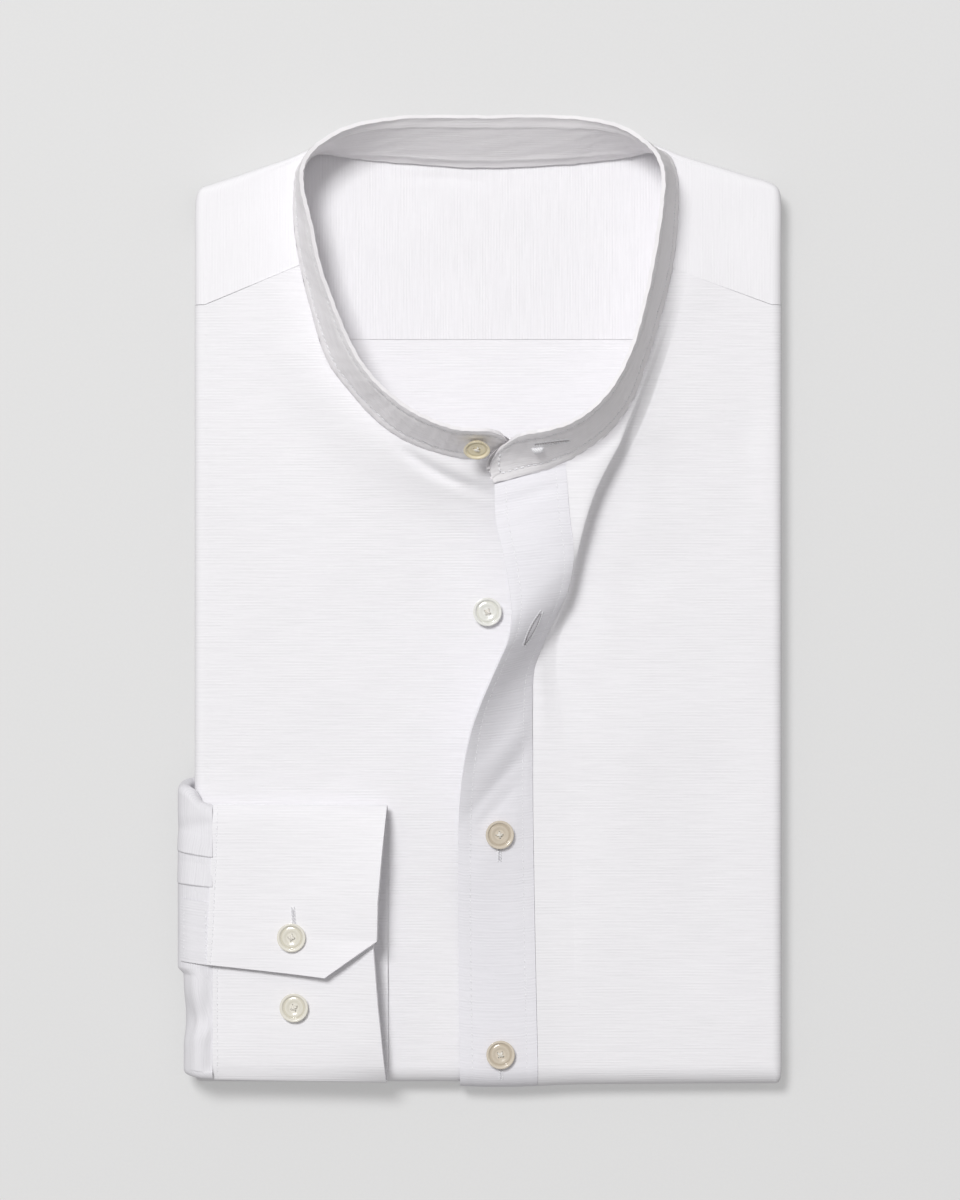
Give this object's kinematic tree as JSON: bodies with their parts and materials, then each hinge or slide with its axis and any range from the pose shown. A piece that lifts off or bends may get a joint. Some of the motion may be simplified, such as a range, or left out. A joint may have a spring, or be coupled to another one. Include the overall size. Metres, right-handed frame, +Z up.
{
  "type": "folded mandarin collar shirt",
  "caption": "Long-sleeved cotton shirt with a standing band collar, folded flat, its collar open and one buttoned cuff brought round to the front.",
  "frame": {"origin": "middle of the folded shirt's outline, on the surface that it lies on", "axes": "+Z up off the surface, +Y towards the collar, +X towards the wearer's left"},
  "size_m": [0.2361, 0.3774, 0.057],
  "materials": {
    "shirt_cotton": "white cotton with a fine slub rib, matt",
    "band_cotton": "white cotton over a stiff interlining, matt",
    "inner_cotton": "inside face of white cotton, matt",
    "button": "cream resin with a soft pearl gloss"
  },
  "bodies": {
    "root": {"folded_body": "shirt_cotton", "back_panel": "inner_cotton", "yoke_lining": "inner_cotton", "yoke": "shirt_cotton", "front_right": "shirt_cotton", "front_left": "shirt_cotton", "front_placket": "shirt_cotton", "collar": "band_cotton", "sleeve": "shirt_cotton", "sleeve_placket": "shirt_cotton", "cuff": "shirt_cotton", "button_collar": "button", "button_front_1": "button", "button_front_2": "button", "button_front_3": "button", "button_cuff_1": "button", "button_cuff_2": "button"}
  },
  "joints": []
}
